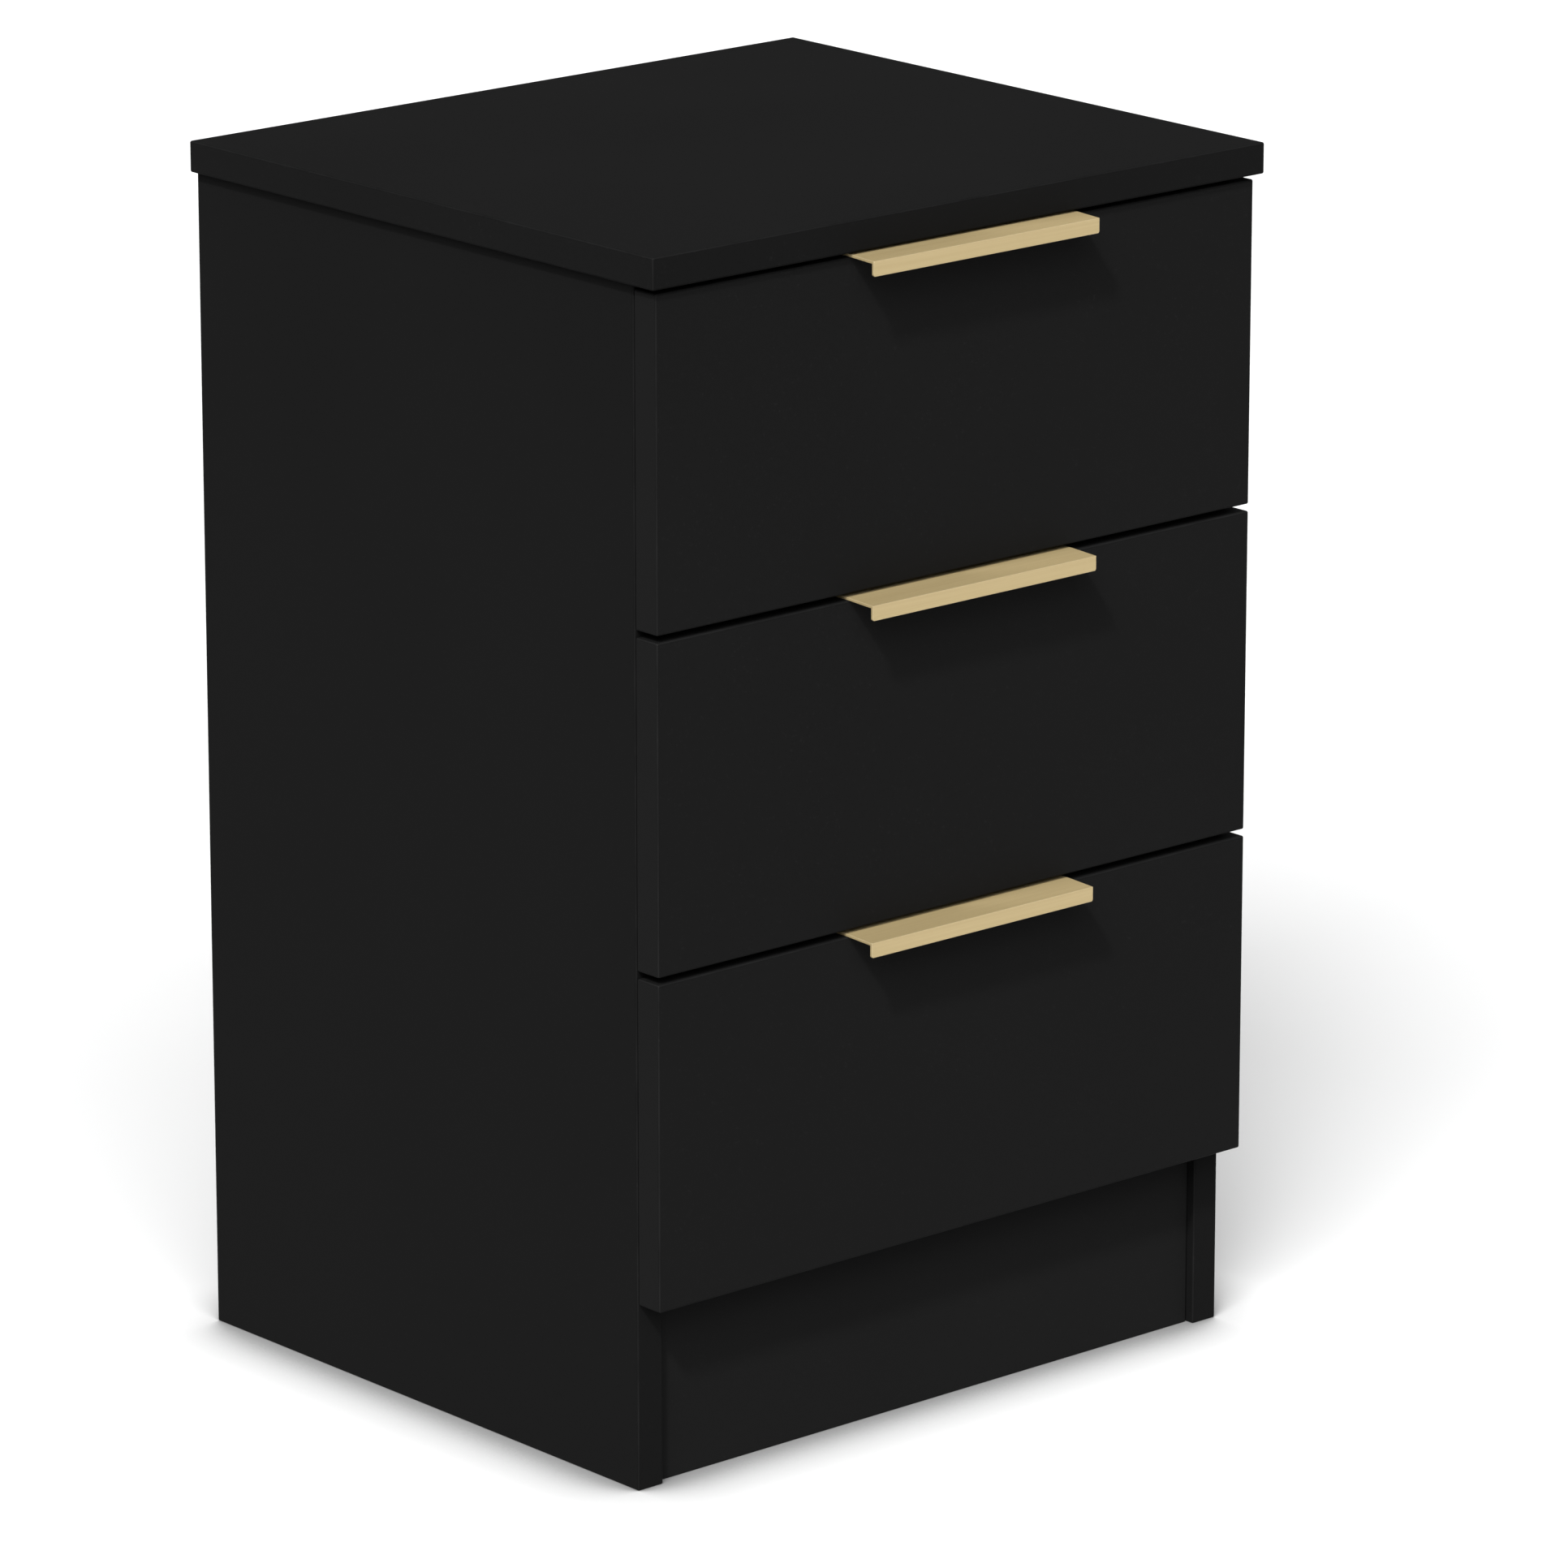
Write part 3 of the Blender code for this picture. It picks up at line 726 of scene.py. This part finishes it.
def nylon_finish():
    """White nylon: waxy, slightly translucent, with faint moulding marks."""
    made, tree, shader = new_finish("moulded_nylon")
    here = put(tree, "ShaderNodeTexCoord").outputs["Object"]
    flow = noise(tree, here, 320.0, 3.0)
    tree.links.new(blend_colours(tree, flow, DULL_NYLON, CLEAN_NYLON), shader.inputs["Base Color"])
    rough = maths(tree, "MULTIPLY_ADD", flow, NYLON_ROUGHENING, NYLON_SMOOTHEST)
    tree.links.new(rough, shader.inputs["Roughness"])
    shader.inputs["Subsurface Weight"].default_value = NYLON_GLOW
    shader.inputs["Subsurface Radius"].default_value = NYLON_GLOW_REACH
    add_relief(tree, shader, flow, 0.15, 0.00005)
    return made


nylon = nylon_finish()
ROLLER_BORE = 0.0023
ROLLER_HUB = 0.0040
ROLLER_RIM = 0.80        # inner radius of the rim, as a share of the roller's
ROLLER_DISH = 0.0008
ROLLER_SOFT = 0.0007     # rounding of the tread and of the rim
ROLLER_FACETS = 48
TREAD_STEPS = 3
ROLLER_CREASE = math.radians(50.0)


def add_roller(node):
    """Replaces a CAD roller with a finely turned one of the same size."""
    low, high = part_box(node)
    radius = (high.z - low.z) / 2
    half = (high.x - low.x) / 2
    rim = radius * ROLLER_RIM
    face = [
        (ROLLER_BORE, half),
        (ROLLER_HUB - ROLLER_SOFT / 2, half),
        (ROLLER_HUB, half - ROLLER_DISH),
        (rim - ROLLER_SOFT / 2, half - ROLLER_DISH),
        (rim, half),
    ]
    tread = []
    for step in range(TREAD_STEPS + 1):
        angle = math.pi / 2 * step / TREAD_STEPS
        out = radius - ROLLER_SOFT + ROLLER_SOFT * math.sin(angle)
        tread.append((out, half - ROLLER_SOFT + ROLLER_SOFT * math.cos(angle)))
    near = face + tread
    profile = near + [(out, -along) for out, along in reversed(near)]
    mesh = turned_mesh(node + "_wheel", profile, ROLLER_FACETS)
    mesh.set_sharp_from_angle(angle=ROLLER_CREASE)
    matrix = Matrix.Translation((low + high) / 2) @ Matrix.Rotation(math.pi / 2, 4, "Y")
    wheel = add_piece(node + "_wheel", mesh, nylon, matrix)
    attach(wheel, node)
    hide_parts(node)


for drawer in DRAWERS:
    for side in SIDES:
        add_roller(f"{drawer}_cabinet_roller_{side}")

# Drawer fronts: 18 mm foiled board like the carcass, edged on all four sides. They cover the front
# edges of the side panels, with a thin dark gap between one front and the next.
# Painted light: the fronts' foil colour is a little lighter than the carcass foil's, making up for the
# lamps falling less on the fronts.
FRONT_COLOUR_PAINTED_LIGHTER = (0.0049, 0.0049, 0.0049)
front_foil_painted_lighter = black_foil(
    "black_front_foil", FRONT_COLOUR_PAINTED_LIGHTER, roughness=0.58, gloss=0.025, pebble=0.0006, bump=0.3
)
for drawer in DRAWERS:
    wear_foil(f"{drawer}_drawer_front", front_foil_painted_lighter)

# Drawer boxes: 12 mm board wrapped in a plain matt black foil, two sides and a back. The sides
# are dowelled to the front, and all of them are grooved or cut down for the thin base.
BOX_COLOUR = (0.0085, 0.0085, 0.0088)
BOX_ARRIS = 0.0005
box_foil = black_foil(
    "black_box_foil", BOX_COLOUR, roughness=0.68, gloss=0.10, pebble=0.0009, bump=0.4
)
for drawer in DRAWERS:
    for node in ("drawer_side_left", "drawer_side_right", "drawer_back"):
        wear_foil(f"{drawer}_{node}", box_foil, BOX_ARRIS)
    wear_finish(f"{drawer}_drawer_base", black_hardboard, HARDBOARD_ARRIS)

# Drawer runners: zinc-plated strips folded under and beside each box, screwed up into its sides,
# each with a nylon roller riveted at its rear end.
SCREWS_ALONG_STRIP = (0.10, 0.55)
DOWNWARDS = Vector((0, 0, -1))
for drawer in DRAWERS:
    for side in SIDES:
        node = f"{drawer}_drawer_runner_{side}"
        wear_finish(node, zinc, STEEL_ARRIS)
        low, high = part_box(node)
        box_low, box_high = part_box(f"{drawer}_drawer_side_{side}")
        screw_x = (box_low.x + box_high.x) / 2
        for number, share in enumerate(SCREWS_ALONG_STRIP, start=1):
            name = f"{drawer}_drawer_runner_screw_{side}_{number}"
            at = Vector((screw_x, low.y + share * (high.y - low.y), low.z))
            drive_screw(name, runner_screw, at, DOWNWARDS, f"{drawer}_drawer")
        add_roller(f"{drawer}_drawer_roller_{side}")

# Edge pulls: one strip of 1.5 mm brass, folded over the top edge of each drawer front. A tab goes
# down behind the front, the flange lies on its edge and reaches out, and a short lip turns down to
# hold. The folds are tight, the lip's corners are eased, and the face is brushed along its length.
DEEP_BRASS = (0.335, 0.257, 0.126, 1.0)
LIGHT_BRASS = (0.388, 0.304, 0.160, 1.0)
RUBBED_AND_HIGHLIT_BRASS = (0.60, 0.52, 0.36, 1.0)
BRUSHED_ALONG_X = (0.012, 1.0, 1.0)
BRUSH_FINENESS = 5200.0
BRASS_EDGE_REACH = 0.0005
BRASS_EDGE_WEAR_AND_HIGHLIGHT = 0.7
BRASS_METAL = 0.45
BRASS_SMOOTHEST = 0.36
BRASS_ROUGHENING = 0.18
RUBBED_POLISH = -0.08


def brushed_brass_finish():
    """Satin brass, brushed lengthwise, with brighter edges that are partly rubbed and partly a painted
    highlight.
    """
    made, tree, shader = new_finish("satin_brass")
    brushed = use_group(tree, drawn_lines, {"Across": BRUSHED_ALONG_X, "Fineness": BRUSH_FINENESS})
    edges = use_group(tree, rounded_metal_edge, {"Reach": BRASS_EDGE_REACH})
    share = maths(tree, "MULTIPLY_ADD", brushed["Streaks"], 1.2, -0.1, clamp=True)
    colour = blend_colours(tree, share, DEEP_BRASS, LIGHT_BRASS)
    # The edges are painted brighter: partly rubbed brass, partly a painted highlight where light would
    # catch them.
    edge_brightening = maths(tree, "MULTIPLY", edges["Edge"], BRASS_EDGE_WEAR_AND_HIGHLIGHT)
    colour = blend_colours(tree, edge_brightening, colour, RUBBED_AND_HIGHLIT_BRASS)
    tree.links.new(colour, shader.inputs["Base Color"])
    shader.inputs["Metallic"].default_value = BRASS_METAL
    rough = maths(tree, "MULTIPLY_ADD", brushed["Lines"], BRASS_ROUGHENING, BRASS_SMOOTHEST)
    rough = maths(tree, "MULTIPLY_ADD", edges["Edge"], RUBBED_POLISH, rough)
    tree.links.new(rough, shader.inputs["Roughness"])
    shader.inputs["Anisotropic"].default_value = 0.4
    add_relief(tree, shader, brushed["Lines"], 0.22, 0.00004, edges["Normal"])
    return made


brass = brushed_brass_finish()
# Painted shade: the sawn ends are coloured dark brown, standing in for the shade along the ends of the
# lip.
SAWN_SHADE_DARK = (0.055, 0.040, 0.016, 1.0)
SAWN_SHADE_LIGHT = (0.14, 0.105, 0.045, 1.0)
SAWN_ALONG_Z = (1.0, 1.0, 0.05)
SAW_FINENESS = 3800.0
SAWN_METAL = 0.5
SAWN_SMOOTHEST = 0.5
SAWN_ROUGHENING = 0.2


def shaded_sawn_brass_finish():
    """The sawn ends of the brass strip: painted dark brown as shade, with fine saw marks."""
    made, tree, shader = new_finish("shaded_sawn_brass")
    sawn = use_group(tree, drawn_lines, {"Across": SAWN_ALONG_Z, "Fineness": SAW_FINENESS})
    colour = blend_colours(tree, sawn["Lines"], SAWN_SHADE_DARK, SAWN_SHADE_LIGHT)
    tree.links.new(colour, shader.inputs["Base Color"])
    shader.inputs["Metallic"].default_value = SAWN_METAL
    rough = maths(tree, "MULTIPLY_ADD", sawn["Lines"], SAWN_ROUGHENING, SAWN_SMOOTHEST)
    tree.links.new(rough, shader.inputs["Roughness"])
    add_relief(tree, shader, sawn["Lines"], 0.3, 0.00004)
    return made


shaded_sawn_brass = shaded_sawn_brass_finish()
SHEET = 0.0015
LIP_FALL = 0.0008        # the flange drops this much from the front to the lip
LIP_BELOW_TOP = 0.0075   # the lip's foot below the top of the drawer front
EASED_CORNER = 0.0012
EASING_STEPS = 5
PULL_ARRIS = 0.00028
PULL_CREASE = math.radians(50.0)


def eased_end(line):
    """Puts points close together at a line's first end, each with how far its row is drawn in there."""
    inward = (line[1] - line[0]).normalized()
    rows = []
    for step in range(EASING_STEPS + 1):
        angle = math.pi / 2 * step / EASING_STEPS
        point = line[0] + inward * EASED_CORNER * (1.0 - math.cos(angle))
        rows.append((point, EASED_CORNER * (1.0 - math.sin(angle))))
    return rows


def pull_mesh(name, rows, middle_x, half_length):
    """Folds the sheet along a row of (place, drawn-in) points in Y and Z."""
    shape = bmesh.new()
    outer = []
    inner = []
    for number, (point, drawn_in) in enumerate(rows):
        before = rows[max(number - 1, 0)][0]
        after = rows[min(number + 1, len(rows) - 1)][0]
        arriving = (point - before).normalized() if number else (after - point).normalized()
        leaving = (after - point).normalized() if after != point else arriving
        mitre = (arriving + leaving).normalized()
        out = Vector((-mitre.y, mitre.x)) * (SHEET / 2) / mitre.dot(arriving)
        ends = (middle_x - half_length + drawn_in, middle_x + half_length - drawn_in)
        outer.append([shape.verts.new((x, point.x + out.x, point.y + out.y)) for x in ends])
        inner.append([shape.verts.new((x, point.x - out.x, point.y - out.y)) for x in ends])
    for one, two, three, four in zip(outer, outer[1:], inner, inner[1:]):
        shape.faces.new((one[0], one[1], two[1], two[0]))
        shape.faces.new((three[0], four[0], four[1], three[1]))
        shape.faces.new((one[0], two[0], four[0], three[0])).material_index = 1
        shape.faces.new((one[1], three[1], four[1], two[1])).material_index = 1
    shape.faces.new((outer[0][0], inner[0][0], inner[0][1], outer[0][1]))
    shape.faces.new((outer[-1][0], outer[-1][1], inner[-1][1], inner[-1][0]))
    bmesh.ops.recalc_face_normals(shape, faces=shape.faces)
    return mesh_from(shape, name)


def add_pull(drawer):
    """Makes one pull from the CAD pull's box and the front that it hangs on."""
    low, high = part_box(drawer + "_handle")
    front_low, front_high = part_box(drawer + "_drawer_front")
    half_sheet = SHEET / 2
    flange_z = high.z - half_sheet
    line = [
        Vector((high.y - half_sheet, low.z)),
        Vector((high.y - half_sheet, flange_z)),
        Vector((front_low.y, flange_z)),
        Vector((low.y + half_sheet, flange_z - LIP_FALL)),
        Vector((low.y + half_sheet, front_high.z - LIP_BELOW_TOP)),
    ]
    folds = [(point, 0.0) for point in line[1:-1]]
    rows = eased_end(line) + folds + list(reversed(eased_end(line[::-1])))
    middle_x = (low.x + high.x) / 2
    mesh = pull_mesh(drawer + "_edge_pull", rows, middle_x, (high.x - low.x) / 2)
    pull = add_piece(drawer + "_edge_pull", mesh, brass)
    mesh.materials.append(shaded_sawn_brass)
    easing = pull.modifiers.new("easing", "BEVEL")
    easing.width = PULL_ARRIS
    easing.segments = 3
    easing.limit_method = "ANGLE"
    easing.angle_limit = PULL_CREASE
    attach(pull, drawer + "_drawer")
    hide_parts(drawer + "_handle")


for drawer in DRAWERS:
    add_pull(drawer)

# Pull screws: two short ones with a higher head, through each pull's tab into the back of the
# drawer front. Their heads show only when the drawer is open.
PULL_SCREW_HEAD_HEIGHT = 0.0020
PULL_SCREW_SHANK = 0.00175
BACKWARDS = Vector((0, 1, 0))
for drawer in DRAWERS:
    for side in SIDES:
        node = f"{drawer}_handle_screw_{side}"
        low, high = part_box(node)
        head_radius = (high.z - low.z) / 2
        head_y = high.y - PULL_SCREW_HEAD_HEIGHT
        at = Vector(((low.x + high.x) / 2, head_y, (low.z + high.z) / 2))
        pull_screw = screw_mesh(head_radius, PULL_SCREW_HEAD_HEIGHT, PULL_SCREW_SHANK, head_y - low.y)
        name = f"{drawer}_pull_screw_{side}"
        screw = drive_screw(name, pull_screw, at, BACKWARDS, f"{drawer}_drawer")
        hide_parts(node)

bpy.context.view_layer.update()
